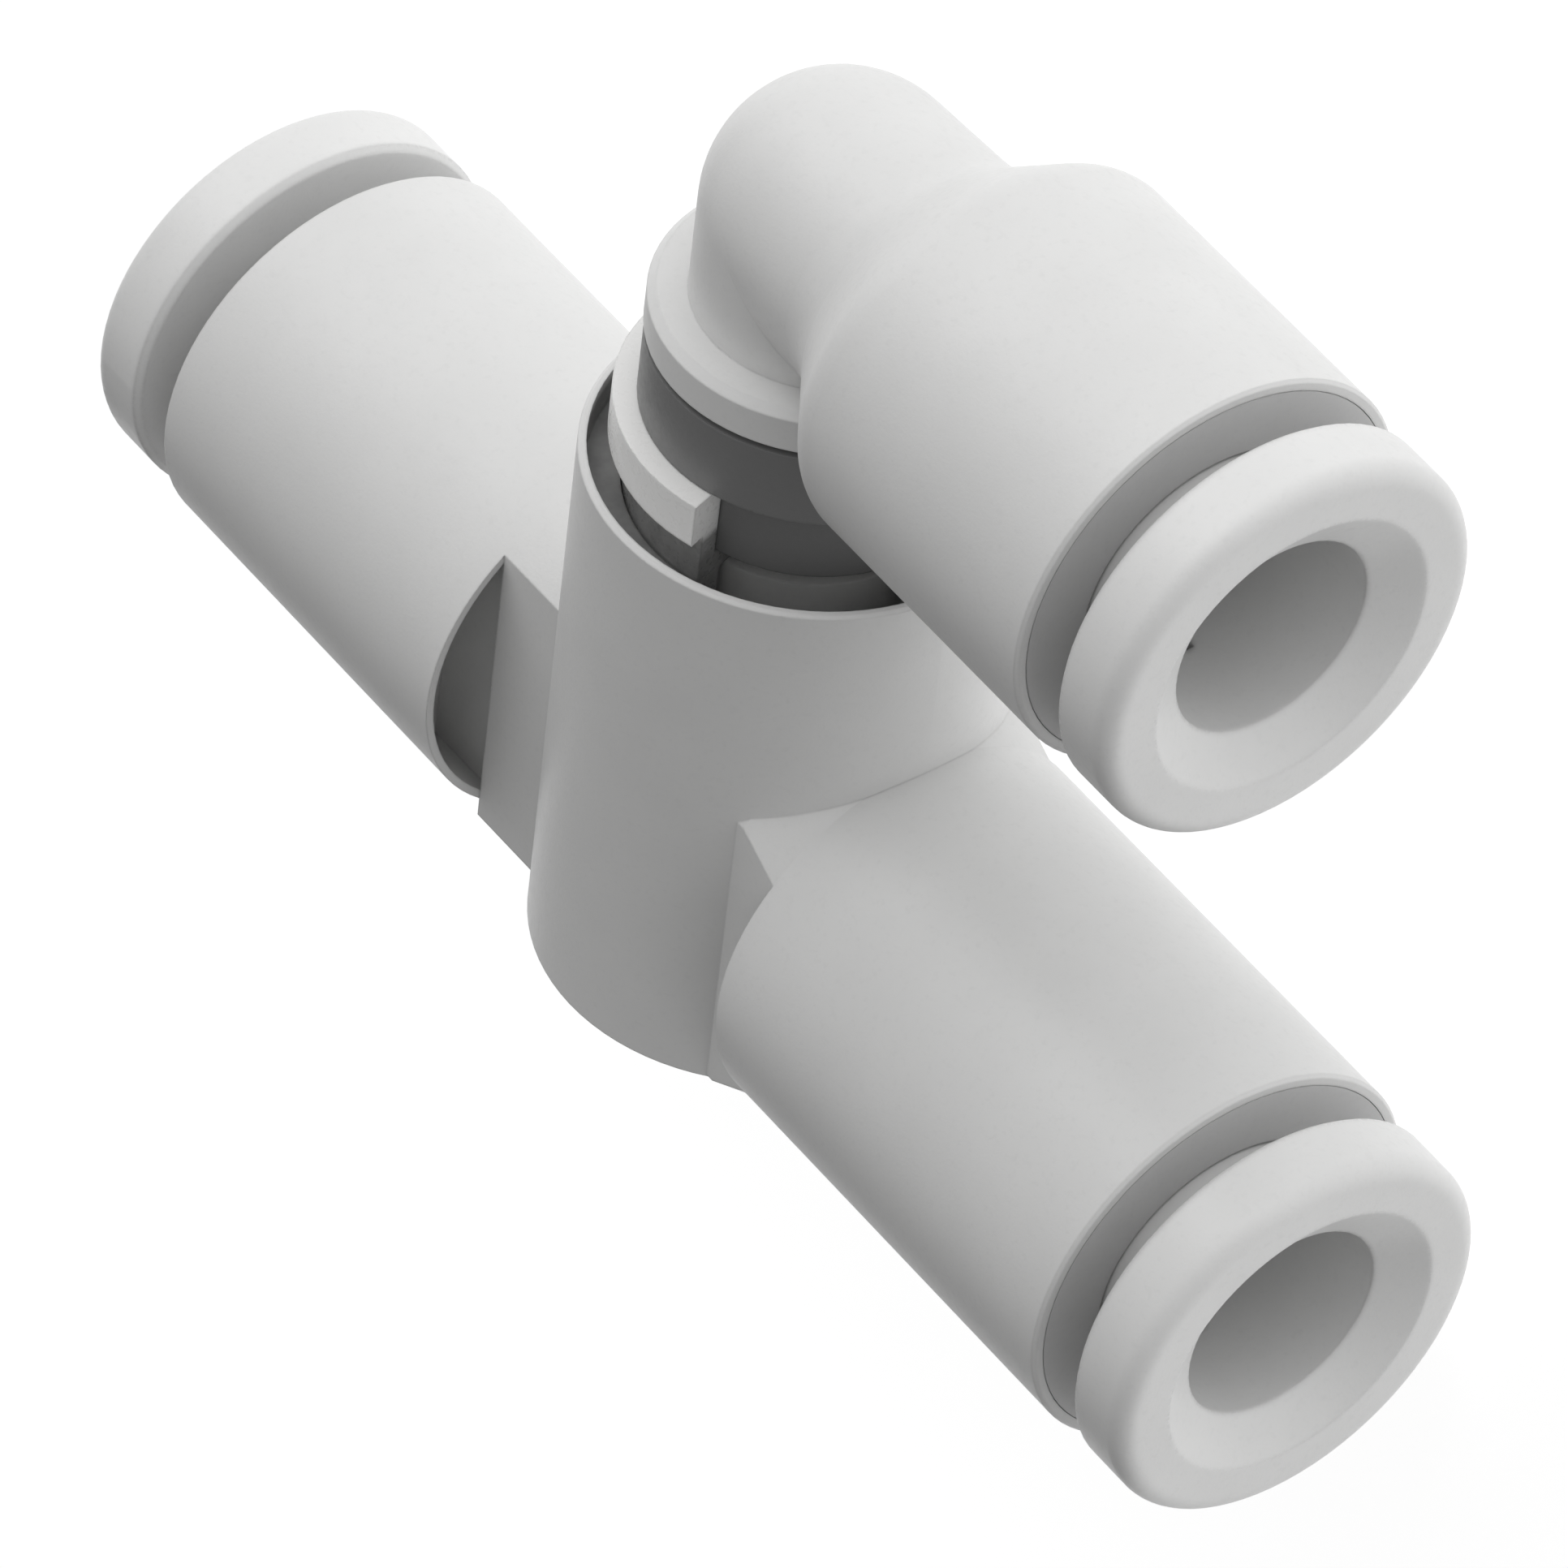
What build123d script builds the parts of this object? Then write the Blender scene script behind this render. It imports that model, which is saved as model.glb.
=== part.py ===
from build123d import *
import os

# Push-in union Y for 6 mm tubing: a straight tee body and an elbow body that turns in its boss.
# Working frame: X runs along the tee from inlet to outlet, Y points from the run to the branch
# outlet, Z is up, and the run and the boss cross at the origin. Everything is in millimetres.

# ---- Tubing and moulded bodies ----
tube_d = 6.0
socket_r = 6.45            # outside of every socket
rim_chamfer = 0.1          # on the rims of the sockets and of the boss
arm_length = 21.5          # hub centre to the rim of the inlet and of the outlet
branch_pitch = 23.0        # run axis to branch axis
branch_reach = 16.9        # swivel axis to the branch rim

# ---- Hub of the tee ----
hub_r = 6.6
hub_foot = 5.6             # run axis to the hub's chamfered foot
hub_foot_chamfer = 0.4
boss_height = 13.5         # run axis to the boss's rim
inlet_waist_half = 4.15    # half thickness across the flats between the inlet and the hub
inlet_shoulder = 8.0       # hub centre to the inlet's shoulder
outlet_waist_half = 4.9    # the same between the hub and the outlet
outlet_shoulder = 6.3
pocket_wall = 0.25         # wall left round the pocket in a shoulder
pocket_drop = 0.55         # from the flats down to the pocket's floor
pocket_depth = 3.0
outlet_root_r = 7.1        # outside of the outlet where it leaves the hub
outlet_root_length = 4.7   # hub centre to the start of the taper down to the socket

# ---- Flow passages and tube seats ----
flow_r = 2.0
tube_seat_clearance = 0.05
seat_depth = 13.0          # rim to the shoulder that stops the tube

# ---- Cartridge in each socket, as depths from the rim ----
guide_flange_r = 6.1
guide_flange_depth = 0.5
guide_r = 5.2
guide_depth = 3.2
guide_lip_r = 4.2
guide_lip_depth = 1.0
guide_recess_r = 4.5
cartridge_r = 4.9
chuck_thickness = 0.3
chuck_tooth_root_r = 4.05
chuck_tooth_tip_r = 3.05
chuck_tooth_drop = 1.05
chuck_tip_width = 0.1
chuck_teeth = 8
chuck_slot = 0.35
collet_depth = 5.5
collet_bore_r = 3.25
cartridge_depth = 8.0
seal_lip_r = 2.9
seal_root_r = 3.45
seal_wall = 0.4
seal_lip_height = 0.87     # end of the seal to the line where its lip grips the tube
seal_cone_height = 1.61    # end of the seal to where its bore opens out
seal_groove_depth = 1.12
press_gap = 0.02           # round pressed pieces and between stacked ones

# ---- Release button ----
button_r = 6.3
button_thickness = 2.3
button_gap = 1.55          # rim to the back of the flange
button_bore_r = 3.24
button_edge_round = 0.6
button_back_chamfer = 0.2
button_mouth_r = 4.6       # outside of the countersink that leads the tube in
button_mouth_depth = 0.9
button_slots = 4
button_slot = 0.5
button_slot_start = 0.3
hook_land = 0.7
hook_taper = 0.25
nose_r = 3.95
nose_length = 0.5
nose_wall = 0.26
running_gap = 0.1
end_gap = 0.05

# ---- Swivel joint, along the boss ----
mouth_wall = 0.25          # wall of the boss at its rim
mouth_depth = 1.2
clip_bore_r = 5.3
clip_bore_floor = 10.7     # run axis to the floor under the clip
clip_lip_reach = 0.35      # how far the clip's outer lip snaps into the boss
clip_lip_height = 0.6
clip_flange_r = 5.8
clip_flange_height = 1.5
clip_standoff = 0.6        # boss rim to the underside of the clip's flange
clip_gap_start = -72.0     # the clip's opening, as angles about the boss from +X
clip_gap_end = 5.0
clip_tongue_height = 0.8   # inner lip that holds the stem
clip_tongue_floor = 12.2
swivel_bore_r = 4.22
swivel_bore_floor = 6.9
stem_foot = 7.2            # run axis to the end of the stem
stem_land_r = 4.15
stem_land_top = 10.5
stem_r = 3.9
stem_groove_depth = 0.5
stem_foot_chamfer = 0.3
o_ring_section = 0.58
o_ring_height = 9.3
o_ring_groove_r = 3.0
bush_r = 5.1
bush_sleeve_r = 4.5
swivel_gap = 0.05

# ---- Elbow ----
collar_r = 5.14
collar_floor = 18.1
collar_height = 1.6
collar_chamfer = 0.25
neck_r = 4.0
flare_start = 3.9          # swivel axis to the foot of the flare
flare_foot_r = 4.15
flare_end = 6.8
flare_foot_round = 2.6
flare_top_round = 1.2

tube_seat_r = tube_d / 2 + tube_seat_clearance
clip_flange_floor = boss_height + clip_standoff
clip_top = clip_flange_floor + clip_flange_height
stem_groove_r = stem_r - stem_groove_depth


def turned(points, rounds=(), chamfers=(), arc=360):
    """Solid turned about Z from (radius, height) points. rounds and chamfers hold (point, size)."""
    face = make_face(Polyline(*points, close=True))
    for mend, corners in ((fillet, rounds), (chamfer, chamfers)):
        for point, size in corners:
            corner = face.vertices().sort_by_distance((*point, 0))[0]
            face = mend(corner, size)
    return revolve(Plane.XZ * face, Axis.Z, revolution_arc=arc)


# A socket, and all that is in it, is drawn about Z with its rim at z = 0 and its mouth upwards,
# so depths are negative heights. Three places turn it onto the fitting.
inlet_place = Pos(-arm_length, 0, 0) * Rot(0, -90, 0)
outlet_place = Pos(arm_length, 0, 0) * Rot(0, 90, 0)
branch_place = Pos(branch_reach, branch_pitch, 0) * Rot(0, 90, 0)
# The swivel's pieces are drawn about Z, with z counted along the boss from the run's axis.
swivel_place = Rot(-90, 0, 0)


def socket_core(flow_end):
    """Everything that is hollow in a socket, from the mouth down to the flow passage."""
    flange_floor = -guide_flange_depth - press_gap
    guide_floor = -guide_depth - press_gap
    return turned([
        (0, 1),
        (guide_flange_r + press_gap, 1),
        (guide_flange_r + press_gap, flange_floor),
        (guide_r + press_gap, flange_floor),
        (guide_r + press_gap, guide_floor),
        (cartridge_r + press_gap, guide_floor),
        (cartridge_r + press_gap, -cartridge_depth),
        (tube_seat_r, -cartridge_depth),
        (tube_seat_r, -seat_depth),
        (flow_r, -seat_depth),
        (flow_r, -flow_end),
        (0, -flow_end),
    ])


def boss_core():
    """The hollow of the boss: mouth, clip seat with its snap groove, O-ring bore, passage."""
    groove_r = clip_bore_r + clip_lip_reach
    groove_top = clip_bore_floor + clip_lip_height + 2 * swivel_gap
    mouth_r = hub_r - mouth_wall
    mouth_floor = boss_height - mouth_depth
    return turned([
        (0, 0),
        (flow_r, 0),
        (flow_r, swivel_bore_floor),
        (swivel_bore_r, swivel_bore_floor),
        (swivel_bore_r, clip_bore_floor),
        (groove_r, clip_bore_floor),
        (groove_r, groove_top),
        (clip_bore_r, groove_top),
        (clip_bore_r, mouth_floor),
        (mouth_r, mouth_floor),
        (mouth_r, boss_height + 1),
        (0, boss_height + 1),
    ])


def waist_cut(shoulder, half):
    """What one arm, drawn along +X, loses beside the hub: flats, and a pocket in its shoulder."""
    corner = (Align.MIN, Align.CENTER, Align.MIN)
    flat = Pos(0, 0, half) * Box(shoulder, 2 * hub_r, hub_r, align=corner)
    bore = Cylinder(socket_r - pocket_wall, pocket_depth, align=(Align.CENTER, Align.CENTER, Align.MIN))
    room = Pos(0, 0, half - pocket_drop) * Box(pocket_depth, 2 * hub_r, hub_r, align=corner)
    upper = flat + Pos(shoulder, 0, 0) * (Rot(0, 90, 0) * bore & room)
    return upper + mirror(upper, Plane.XY)


def inlet_web():
    """Flat-footed web under the waist, flush with the hub's foot."""
    return Box(
        inlet_shoulder, hub_foot, 2 * inlet_waist_half, align=(Align.MAX, Align.MAX, Align.CENTER)
    )


def outlet_root():
    """The thicker start of the outlet, flattened on three sides, that tapers to the socket."""
    cone = turned([
        (0, 0),
        (outlet_root_r, 0),
        (outlet_root_r, outlet_root_length),
        (socket_r, outlet_shoulder),
        (0, outlet_shoulder),
    ])
    room = Box(
        outlet_shoulder,
        hub_foot + outlet_root_r,
        2 * outlet_waist_half,
        align=(Align.MIN, Align.MIN, Align.CENTER),
    )
    return Rot(0, 90, 0) * cone & Pos(0, -hub_foot, 0) * room


def tee_body():
    run_end = (socket_r, arm_length)
    run_start = (socket_r, -arm_length)
    run = turned(
        [(0, -arm_length), run_start, run_end, (0, arm_length)],
        chamfers=[(run_start, rim_chamfer), (run_end, rim_chamfer)],
    )
    run = Rot(0, 90, 0) * run
    run -= Rot(0, 0, 180) * waist_cut(inlet_shoulder, inlet_waist_half)
    run -= waist_cut(outlet_shoulder, outlet_waist_half)
    foot = (hub_r, -hub_foot)
    rim = (hub_r, boss_height)
    hub = turned(
        [(0, -hub_foot), foot, rim, (0, boss_height)],
        chamfers=[(foot, hub_foot_chamfer), (rim, rim_chamfer)],
    )
    body = run + inlet_web() + outlet_root() + swivel_place * hub
    body -= inlet_place * socket_core(arm_length)
    body -= outlet_place * socket_core(arm_length)
    body -= swivel_place * boss_core()
    return body


def elbow_arm():
    """The branch arm about Z, from its corner at z = 0 to its rim: neck, flare and socket."""
    flare_foot = (flare_foot_r, flare_start)
    flare_top = (socket_r, flare_end)
    rim = (socket_r, branch_reach)
    return turned(
        [(0, 0), (neck_r, 0), flare_foot, flare_top, rim, (0, branch_reach)],
        rounds=[(flare_foot, flare_foot_round), (flare_top, flare_top_round)],
        chamfers=[(rim, rim_chamfer)],
    )


def elbow_stem():
    """The stem in the boss, with the groove for the clip's tongue and the O-ring's groove."""
    tongue_low = clip_tongue_floor - swivel_gap
    tongue_high = clip_tongue_floor + clip_tongue_height + swivel_gap
    ring_low = o_ring_height - o_ring_section - swivel_gap
    ring_high = o_ring_height + o_ring_section + swivel_gap
    return turned([
        (0, stem_foot),
        (stem_land_r - stem_foot_chamfer, stem_foot),
        (stem_land_r, stem_foot + stem_foot_chamfer),
        (stem_land_r, ring_low),
        (o_ring_groove_r, ring_low),
        (o_ring_groove_r, ring_high),
        (stem_land_r, ring_high),
        (stem_land_r, stem_land_top),
        (stem_r, stem_land_top),
        (stem_r, tongue_low),
        (stem_groove_r, tongue_low),
        (stem_groove_r, tongue_high),
        (stem_r, tongue_high),
        (stem_r, collar_floor),
        (0, collar_floor),
    ])


def elbow_body():
    collar_top = collar_floor + collar_height
    collar_low_edge = (collar_r, collar_floor)
    collar_high_edge = (collar_r, collar_top)
    collar = turned(
        [
            (0, collar_floor),
            collar_low_edge,
            collar_high_edge,
            (neck_r, collar_top),
            (neck_r, branch_pitch),
            (0, branch_pitch),
        ],
        chamfers=[(collar_low_edge, collar_chamfer), (collar_high_edge, collar_chamfer)],
    )
    corner = Pos(0, 0, branch_pitch)
    passage = turned([(0, 0), (flow_r, 0), (flow_r, branch_pitch), (0, branch_pitch)])
    bush_room = turned([(0, 0), (collar_r, 0), (collar_r, collar_floor), (0, collar_floor)])
    arm = Pos(0, branch_pitch, 0) * Rot(0, 90, 0) * elbow_arm() - swivel_place * bush_room
    # The spheres' poles lie along the arm, where no outside face meets them.
    knee = corner * Rot(0, 90, 0) * Sphere(neck_r)
    body = arm + swivel_place * (elbow_stem() + collar + knee)
    body -= swivel_place * (passage + corner * Rot(0, 90, 0) * Sphere(flow_r))
    body -= branch_place * socket_core(branch_reach)
    return body


def guide():
    """Sleeve in the mouth of a socket. Its lip keeps the release button's hooks in."""
    return turned([
        (guide_lip_r, 0),
        (guide_flange_r, 0),
        (guide_flange_r, -guide_flange_depth),
        (guide_r, -guide_flange_depth),
        (guide_r, -guide_depth),
        (guide_recess_r, -guide_depth),
        (guide_recess_r, -guide_lip_depth),
        (guide_lip_r, -guide_lip_depth),
    ])


def chuck():
    """Thin grab ring. Its teeth lean inwards, so that a tube slides in but not out."""
    top = -guide_depth - press_gap
    tip = top - chuck_tooth_drop
    ring = turned([
        (chuck_tooth_root_r, top),
        (cartridge_r, top),
        (cartridge_r, top - chuck_thickness),
        (chuck_tooth_root_r, top - chuck_thickness),
        (chuck_tooth_tip_r + chuck_tip_width, tip - chuck_thickness),
        (chuck_tooth_tip_r, tip),
    ])
    slot_end = chuck_tooth_root_r + chuck_thickness
    slot = Box(slot_end, chuck_slot, cartridge_depth, align=(Align.MIN, Align.CENTER, Align.MAX))
    return ring - PolarLocations(0, chuck_teeth) * slot


def collet():
    """Ring behind the grab ring, with a cone that the teeth lie along."""
    top = -guide_depth - chuck_thickness - 2 * press_gap
    slope = chuck_tooth_drop / (chuck_tooth_root_r - chuck_tooth_tip_r)
    cone_r = chuck_tooth_root_r + chuck_thickness
    cone_end = top - slope * (cone_r - collet_bore_r)
    return turned([
        (cone_r, top),
        (cartridge_r, top),
        (cartridge_r, -collet_depth),
        (collet_bore_r, -collet_depth),
        (collet_bore_r, cone_end),
    ])


def seal():
    """Rubber ring: a lip that grips the tube, and a groove that lets pressure open it."""
    top = -collet_depth - press_gap
    floor = -cartridge_depth + press_gap
    return turned([
        (seal_root_r, top),
        (cartridge_r, top),
        (cartridge_r, floor),
        (cartridge_r - seal_wall, floor),
        (seal_root_r + seal_wall, floor + seal_groove_depth),
        (seal_root_r, floor),
        (seal_lip_r + seal_wall / 4, floor),
        (seal_lip_r, floor + seal_lip_height),
        (seal_root_r - seal_wall / 4, floor + seal_cone_height),
    ])


def release_button():
    """Flange that the thumb presses, and a slotted, hooked nose that opens the teeth."""
    back = button_gap
    face = back + button_thickness
    neck = guide_lip_r - running_gap
    hook_r = guide_recess_r - running_gap
    hook_top = -guide_lip_depth - end_gap
    hook_floor = hook_top - hook_land
    nose_top = hook_floor - hook_taper
    tip = nose_top - nose_length
    front_edge = (button_r, face)
    back_edge = (button_r, back)
    body = turned(
        [
            (button_bore_r, face - button_mouth_depth),
            (button_mouth_r, face),
            front_edge,
            back_edge,
            (neck, back),
            (neck, hook_top),
            (hook_r, hook_top),
            (hook_r, hook_floor),
            (nose_r, nose_top),
            (button_bore_r + nose_wall, tip),
            (button_bore_r, tip),
        ],
        rounds=[(front_edge, button_edge_round)],
        chamfers=[(back_edge, button_back_chamfer)],
    )
    slot = Box(button_r, button_slot, guide_depth, align=(Align.MIN, Align.CENTER, Align.MAX))
    return body - Pos(0, 0, -button_slot_start) * PolarLocations(0, button_slots) * slot


def retaining_clip():
    """Split ring: outer lip in the boss, inner tongue in the stem's groove, flange outside."""
    floor = clip_bore_floor + swivel_gap
    lip_top = floor + clip_lip_height
    tongue_top = clip_tongue_floor + clip_tongue_height
    body_r = clip_bore_r - swivel_gap
    lip_r = body_r + clip_lip_reach
    sleeve_side = bush_sleeve_r + swivel_gap
    tongue_r = stem_groove_r + swivel_gap
    outline = [
        (stem_land_r + swivel_gap, floor),
        (lip_r, floor),
        (lip_r, lip_top),
        (body_r, lip_top),
        (body_r, clip_flange_floor),
        (clip_flange_r, clip_flange_floor),
        (clip_flange_r, clip_top),
        (sleeve_side, clip_top),
        (sleeve_side, tongue_top),
        (tongue_r, tongue_top),
        (tongue_r, clip_tongue_floor),
        (stem_land_r + swivel_gap, clip_tongue_floor),
    ]
    opening = clip_gap_end - clip_gap_start
    return Rot(0, 0, clip_gap_end) * turned(outline, arc=360 - opening)


def swivel_bush():
    """Bush round the stem: a shoulder between collar and clip, and a sleeve inside the clip."""
    shoulder_floor = clip_top + swivel_gap
    shoulder_top = collar_floor
    sleeve_floor = clip_tongue_floor + clip_tongue_height + swivel_gap
    return turned([
        (stem_r + press_gap, sleeve_floor),
        (bush_sleeve_r, sleeve_floor),
        (bush_sleeve_r, shoulder_floor),
        (bush_r, shoulder_floor),
        (bush_r, shoulder_top),
        (stem_r + press_gap, shoulder_top),
    ])


def o_ring():
    middle_r = swivel_bore_r - swivel_gap / 2 - o_ring_section
    return Pos(0, 0, o_ring_height) * Torus(middle_r, o_ring_section)


nodes = {
    "tee_body": tee_body(),
    "elbow_body": elbow_body(),
    "retaining_clip": swivel_place * retaining_clip(),
    "swivel_bush": swivel_place * swivel_bush(),
    "swivel_o_ring": swivel_place * o_ring(),
}
cartridge = {
    "release_button": release_button(),
    "guide": guide(),
    "chuck": chuck(),
    "collet": collet(),
    "seal": seal(),
}
for port, place in (("inlet", inlet_place), ("outlet", outlet_place), ("branch", branch_place)):
    for piece, solid in cartridge.items():
        nodes[f"{port}_{piece}"] = place * solid

# The finished fitting lies on z = 0, with the middle of its outline over the origin.
resting_place = Pos(0, -branch_pitch / 2, hub_r)
os.makedirs("parts", exist_ok=True)
for name, solid in nodes.items():
    export_step(resting_place * solid, f"parts/{name}.step")
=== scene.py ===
import math

import bmesh
import bpy
from mathutils import Matrix, Vector

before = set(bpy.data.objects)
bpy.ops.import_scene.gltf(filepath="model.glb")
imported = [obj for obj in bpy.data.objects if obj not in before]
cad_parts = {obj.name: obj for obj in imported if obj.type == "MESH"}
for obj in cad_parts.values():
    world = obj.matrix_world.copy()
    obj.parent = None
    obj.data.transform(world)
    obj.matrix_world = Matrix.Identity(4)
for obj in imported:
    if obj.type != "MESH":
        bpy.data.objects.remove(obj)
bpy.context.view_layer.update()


# ---- Camera ----
# A long lens well back from the fitting, so that the tubes stay nearly parallel. The camera
# looks down on the fitting as it lies on its flat side, and is rolled onto its own side.
lens_angle = math.radians(5.635)
camera_place = Vector((0.246898, 0.310486, 0.220837))
camera_back = Vector((0.537887, 0.701272, 0.467862))     # from what it looks at, back to the lens
camera_roll = math.radians(-114.34)
camera_near = 0.01

camera = bpy.data.objects.new("camera", bpy.data.cameras.new("camera"))
camera.data.angle = lens_angle
camera.data.clip_start = camera_near
upright = (-camera_back).to_track_quat("-Z", "Y").to_matrix().to_4x4()
camera.matrix_world = (
    Matrix.Translation(camera_place) @ upright @ Matrix.Rotation(camera_roll, 4, "Z")
)
bpy.context.scene.collection.objects.link(camera)
bpy.context.scene.camera = camera


# ---- Moulded bodies: the tee and the elbow ----
# Both are injection moulded in light grey PBT. The mould is finely blasted, so the skin is matt
# with a faint pebble and the edges are rubbed smoother and lighter. Painted shade darkens the
# corners.
body_colour = (0.725, 0.725, 0.72)
body_roughness = 0.42
stain_scale = 190               # blots to the metre, as in the next two
speckle_scale = 4200
blast_scale = 9000
blast_depth = 0.00001
blast_strength = 0.5
edge_radius = 0.0001
edge_polish = 0.1               # taken off the roughness where the edges are rubbed
speckle_roughness = 0.06        # either way
# Painted shade in the corners: how far the occlusion looks, and how much darker it makes the
# colour.
corner_shade_reach = 0.0008
painted_corner_shade = 0.12
node_samples = 2                # of the rounded edges and of the corners' painted shade


def shader_of(material):
    return next(n for n in material.node_tree.nodes if n.type == "BSDF_PRINCIPLED")


def noise(tree, place, scale, detail):
    """A cloud of value 0 to 1 on the piece's own coordinates, in blots of 1/scale metres."""
    cloud = tree.nodes.new("ShaderNodeTexNoise")
    cloud.inputs["Scale"].default_value = scale
    cloud.inputs["Detail"].default_value = detail
    cloud.inputs["Roughness"].default_value = 0.6
    tree.links.new(place, cloud.inputs["Vector"])
    return cloud.outputs["Fac"]


def spread(tree, value, low, high, start, end):
    """The value's stretch from low to high becomes one from start to end."""
    change = tree.nodes.new("ShaderNodeMapRange")
    change.inputs["From Min"].default_value = low
    change.inputs["From Max"].default_value = high
    change.inputs["To Min"].default_value = start
    change.inputs["To Max"].default_value = end
    tree.links.new(value, change.inputs["Value"])
    return change.outputs["Result"]


def blended(tree, amount, first, second):
    """Colour that goes from first to second. Each is a colour, or a node's output."""
    mix = tree.nodes.new("ShaderNodeMix")
    mix.data_type = "RGBA"
    tree.links.new(amount, mix.inputs["Factor"])
    for name, colour in (("A", first), ("B", second)):
        socket = next(i for i in mix.inputs if i.name == name and i.type == "RGBA")
        if isinstance(colour, tuple):
            socket.default_value = (*colour, 1)
        else:
            tree.links.new(colour, socket)
    return next(o for o in mix.outputs if o.type == "RGBA")


def rubbed_edges(tree, radius):
    """The normal of softly rounded edges, and a mask that is 1 along them and 0 elsewhere."""
    rounded = tree.nodes.new("ShaderNodeBevel")
    rounded.samples = node_samples
    rounded.inputs["Radius"].default_value = radius
    flat = tree.nodes.new("ShaderNodeNewGeometry")
    compare = tree.nodes.new("ShaderNodeVectorMath")
    compare.operation = "DOT_PRODUCT"
    tree.links.new(rounded.outputs["Normal"], compare.inputs[0])
    tree.links.new(flat.outputs["Normal"], compare.inputs[1])
    return rounded.outputs["Normal"], spread(tree, compare.outputs["Value"], 0.99, 0.86, 0, 1)


def moulded(
    name, colour, roughness, grain=blast_scale, depth=blast_depth,
    rounding=edge_radius, cloud=0.05, wear=0.06,
):
    """Moulded plastic or rubber. grain and depth are the mould's pebble, rounding is the edges'
    radius, and cloud and wear are shares of its own lightness."""
    material = bpy.data.materials.new(name)
    material.use_nodes = True
    tree = material.node_tree
    shader = shader_of(material)
    place = tree.nodes.new("ShaderNodeTexCoord").outputs["Object"]

    def toned(share):
        return tuple(min(1.0, channel * (1 + share)) for channel in colour)

    stain = noise(tree, place, stain_scale, 4)
    speckle = noise(tree, place, speckle_scale, 2)
    soft_normal, edge = rubbed_edges(tree, rounding)
    # Painted shade: the colour darkens where ambient occlusion finds a corner.
    corner = tree.nodes.new("ShaderNodeAmbientOcclusion")
    corner.samples = node_samples
    corner.inputs["Distance"].default_value = corner_shade_reach

    stained = spread(tree, stain, 0.3, 0.7, 0, 1)
    speckled = spread(tree, speckle, 0.55, 0.8, 0, 0.5)
    rubbed = spread(tree, edge, 0, 1, 0, 0.8)
    corner_shade_amount = spread(tree, corner.outputs["AO"], 0.75, 0.2, 0, 1)
    skin = blended(tree, stained, toned(-cloud), colour)
    skin = blended(tree, speckled, skin, toned(-2 * cloud))
    skin = blended(tree, rubbed, skin, toned(wear))
    # Painted shade in the corners.
    skin = blended(tree, corner_shade_amount, skin, toned(-painted_corner_shade))
    tree.links.new(skin, shader.inputs["Base Color"])

    lowest, highest = roughness - speckle_roughness, roughness + speckle_roughness
    handled = tree.nodes.new("ShaderNodeMath")
    handled.operation = "MULTIPLY_ADD"
    handled.inputs[1].default_value = -edge_polish
    tree.links.new(edge, handled.inputs[0])
    tree.links.new(spread(tree, speckle, 0.3, 0.7, lowest, highest), handled.inputs[2])
    tree.links.new(handled.outputs["Value"], shader.inputs["Roughness"])

    pebble = tree.nodes.new("ShaderNodeBump")
    pebble.inputs["Strength"].default_value = blast_strength
    pebble.inputs["Distance"].default_value = depth
    tree.links.new(noise(tree, place, grain, 3), pebble.inputs["Height"])
    tree.links.new(soft_normal, pebble.inputs["Normal"])
    tree.links.new(pebble.outputs["Normal"], shader.inputs["Normal"])
    return material


def dress(material, *names):
    for name in names:
        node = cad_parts[name].data
        node.materials.clear()
        node.materials.append(material)


tee_plastic = moulded("tee_plastic", body_colour, body_roughness)
elbow_plastic = moulded("elbow_plastic", body_colour, body_roughness)
dress(tee_plastic, "tee_body")
dress(elbow_plastic, "elbow_body")


# ---- Swivel: retaining clip, bush and O-ring ----
# The split clip is moulded in a stiffer, whiter plastic and snaps into the tee's boss. The bush
# behind it is dark grey acetal and the O-ring is nitrile rubber. The boss's narrow mouth is
# given painted shade round the clip: its floor and the clip's skirt are darkened in colour.
swivel_height = 0.0066                          # of the swivel's axis over the floor
boss_mouth_r = 0.00635
boss_rim = 0.002                                # along Y
boss_floor = -0.0008                            # along Y, under the clip
clip_underside = 0.0026                         # along Y, of the clip's flange
rim_left_light = 0.0001
mouth_shade_blots = 900                               # to the metre
mouth_shade_fade = 0.0003                            # over which the painted shade fades along Y
floor_shade_share = 0.3                               # of the body's colour, left in the painted shade
skirt_shade_share = 0.35
clip_colour = (0.88, 0.88, 0.87)
bush_colour = (0.185, 0.185, 0.185)
rubber_colour = (0.025, 0.025, 0.025)


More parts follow.
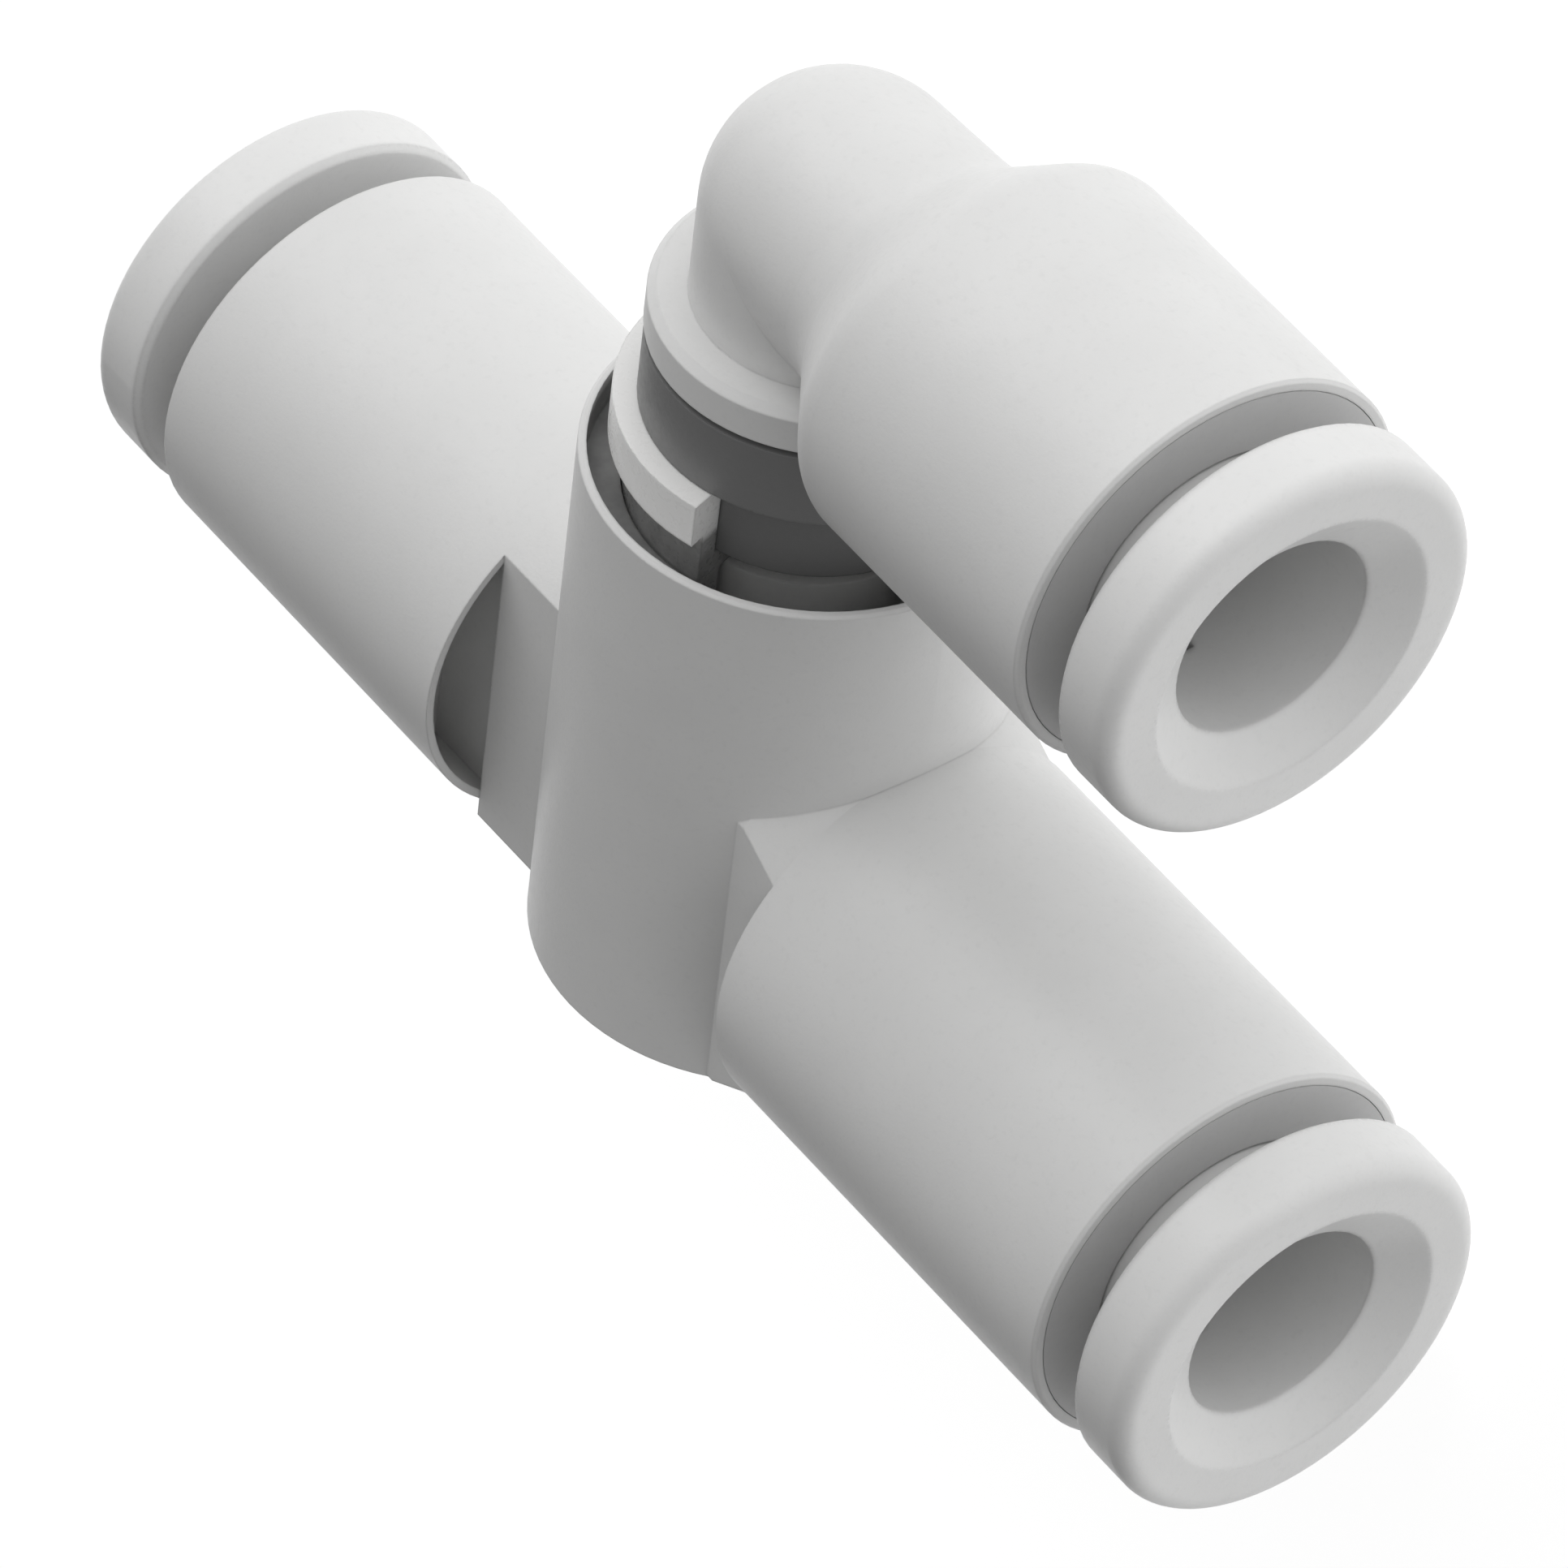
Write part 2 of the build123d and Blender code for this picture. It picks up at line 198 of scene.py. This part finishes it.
def paint_mouth_shade(material, top, share):
    """Painted shade: darkens the piece's colour to this share of the body's in the boss's mouth,
    up to top.
    """
    tree = material.node_tree
    shader = shader_of(material)
    place = tree.nodes.new("ShaderNodeTexCoord").outputs["Object"]
    offset = tree.nodes.new("ShaderNodeVectorMath")
    offset.operation = "SUBTRACT"
    offset.inputs[1].default_value = (0, 0, swivel_height)
    across = tree.nodes.new("ShaderNodeVectorMath")
    across.operation = "MULTIPLY"
    across.inputs[1].default_value = (1, 0, 1)
    length = tree.nodes.new("ShaderNodeVectorMath")
    length.operation = "LENGTH"
    parts = tree.nodes.new("ShaderNodeSeparateXYZ")
    tree.links.new(place, offset.inputs[0])
    tree.links.new(offset.outputs["Vector"], across.inputs[0])
    tree.links.new(across.outputs["Vector"], length.inputs[0])
    tree.links.new(place, parts.inputs["Vector"])
    wall_r = boss_mouth_r + rim_left_light
    amount = spread(tree, length.outputs["Value"], wall_r, boss_mouth_r, 0, 1)
    below = spread(tree, parts.outputs["Y"], top, top - mouth_shade_fade, 0, 1)
    above = spread(tree, parts.outputs["Y"], boss_floor - mouth_shade_fade, boss_floor, 0, 1)
    uneven = spread(tree, noise(tree, place, mouth_shade_blots, 3), 0.2, 0.6, 0.75, 1)
    for limit in (below, above, uneven):
        both = tree.nodes.new("ShaderNodeMath")
        both.operation = "MULTIPLY"
        tree.links.new(amount, both.inputs[0])
        tree.links.new(limit, both.inputs[1])
        amount = both.outputs["Value"]
    clean = shader.inputs["Base Color"].links[0].from_socket
    dark = tuple(channel * share for channel in body_colour)
    tree.links.new(blended(tree, amount, clean, dark), shader.inputs["Base Color"])


clip_plastic = moulded("clip_plastic", clip_colour, 0.3, grain=6000, depth=0.000001, cloud=0.01)
bush_plastic = moulded("bush_plastic", bush_colour, 0.42, wear=0.4)
rubber = moulded("rubber", rubber_colour, 0.6, grain=7000, wear=0.3)
# Painted shade in the boss's mouth, on the tee's floor there and on the clip's skirt.
paint_mouth_shade(tee_plastic, boss_rim - rim_left_light, floor_shade_share)
paint_mouth_shade(clip_plastic, clip_underside, skirt_shade_share)
dress(clip_plastic, "retaining_clip")
dress(bush_plastic, "swivel_bush")
dress(rubber, "swivel_o_ring")


# ---- Cartridge in each port ----
# A release button, the guide sleeve it slides in, the toothed grab ring, the collet ring
# behind it and the lip seal, pressed into the socket one after another.
button_colour = (0.76, 0.76, 0.755)
button_rounding = 0.0003
# The guides' mid grey is partly their own colour and partly painted shade for the gap round each
# button.
guide_and_gap_shade_colour = (0.54, 0.54, 0.54)
steel_colour = (0.6, 0.6, 0.6)
small_blast_depth = 0.000008
stamping_depth = 0.000004

button_plastic = moulded(
    "button_plastic", button_colour, 0.38, depth=small_blast_depth,
    rounding=button_rounding, wear=0.02,
)
guide_plastic = moulded("guide_plastic", guide_and_gap_shade_colour, 0.4, depth=small_blast_depth)
steel = moulded("steel", steel_colour, 0.3, depth=stamping_depth)
shader_of(steel).inputs["Metallic"].default_value = 1.0
for port in ("inlet", "outlet", "branch"):
    dress(button_plastic, f"{port}_release_button")
    dress(guide_plastic, f"{port}_guide", f"{port}_collet")
    dress(steel, f"{port}_chuck")
    dress(rubber, f"{port}_seal")


# ---- Light table and lamp ----
# A wide sheet of opal plastic that glows evenly, a dim room that is lighter on the branch's
# side, and one large soft lamp that stands low behind the branch, towards the inlet.
floor_half = 20.0
sheet_glow = 0.86
sheet_colour = (0.35, 0.35, 0.35)
room_light = 0.45                               # in the middle of its range
room_slope = Vector((-0.045, 0.428, -0.09))     # how fast it brightens, and towards where
lamp_place = Vector((-0.27, 0.51, 0.19))
lamp_width, lamp_height = 0.9, 0.38
lamp_power = 1.15

sheet = bmesh.new()
bmesh.ops.create_grid(sheet, x_segments=1, y_segments=1, size=floor_half)
floor_mesh = bpy.data.meshes.new("floor")
sheet.to_mesh(floor_mesh)
sheet.free()
floor = bpy.data.objects.new("floor", floor_mesh)
bpy.context.scene.collection.objects.link(floor)
opal = bpy.data.materials.new("opal_sheet")
opal.use_nodes = True
opal_inputs = shader_of(opal).inputs
opal_inputs["Base Color"].default_value = (*sheet_colour, 1)
opal_inputs["Roughness"].default_value = 0.9
opal_inputs["Specular IOR Level"].default_value = 0.1
opal_inputs["Emission Color"].default_value = (1, 1, 1, 1)
opal_inputs["Emission Strength"].default_value = sheet_glow
floor_mesh.materials.append(opal)

room = bpy.data.worlds.new("room")
room.use_nodes = True
room_tree = room.node_tree
background = room_tree.nodes["Background"]
background.inputs["Color"].default_value = (1, 1, 1, 1)
towards = room_tree.nodes.new("ShaderNodeTexCoord").outputs["Generated"]
brighter = room_tree.nodes.new("ShaderNodeVectorMath")
brighter.operation = "DOT_PRODUCT"
brighter.inputs[1].default_value = room_slope
lifted = room_tree.nodes.new("ShaderNodeMath")
lifted.operation = "ADD"
lifted.inputs[1].default_value = room_light
room_tree.links.new(towards, brighter.inputs[0])
room_tree.links.new(brighter.outputs["Value"], lifted.inputs[0])
room_tree.links.new(lifted.outputs["Value"], background.inputs["Strength"])
bpy.context.scene.world = room
bpy.context.scene.view_settings.view_transform = "Standard"

lamp = bpy.data.lights.new("soft_lamp", "AREA")
lamp.shape = "RECTANGLE"
lamp.size = lamp_width
lamp.size_y = lamp_height
lamp.energy = lamp_power
soft_lamp = bpy.data.objects.new("soft_lamp", lamp)
aim = (-lamp_place).to_track_quat("-Z", "Y").to_matrix().to_4x4()
soft_lamp.matrix_world = Matrix.Translation(lamp_place) @ aim
soft_lamp.visible_camera = False
bpy.context.scene.collection.objects.link(soft_lamp)
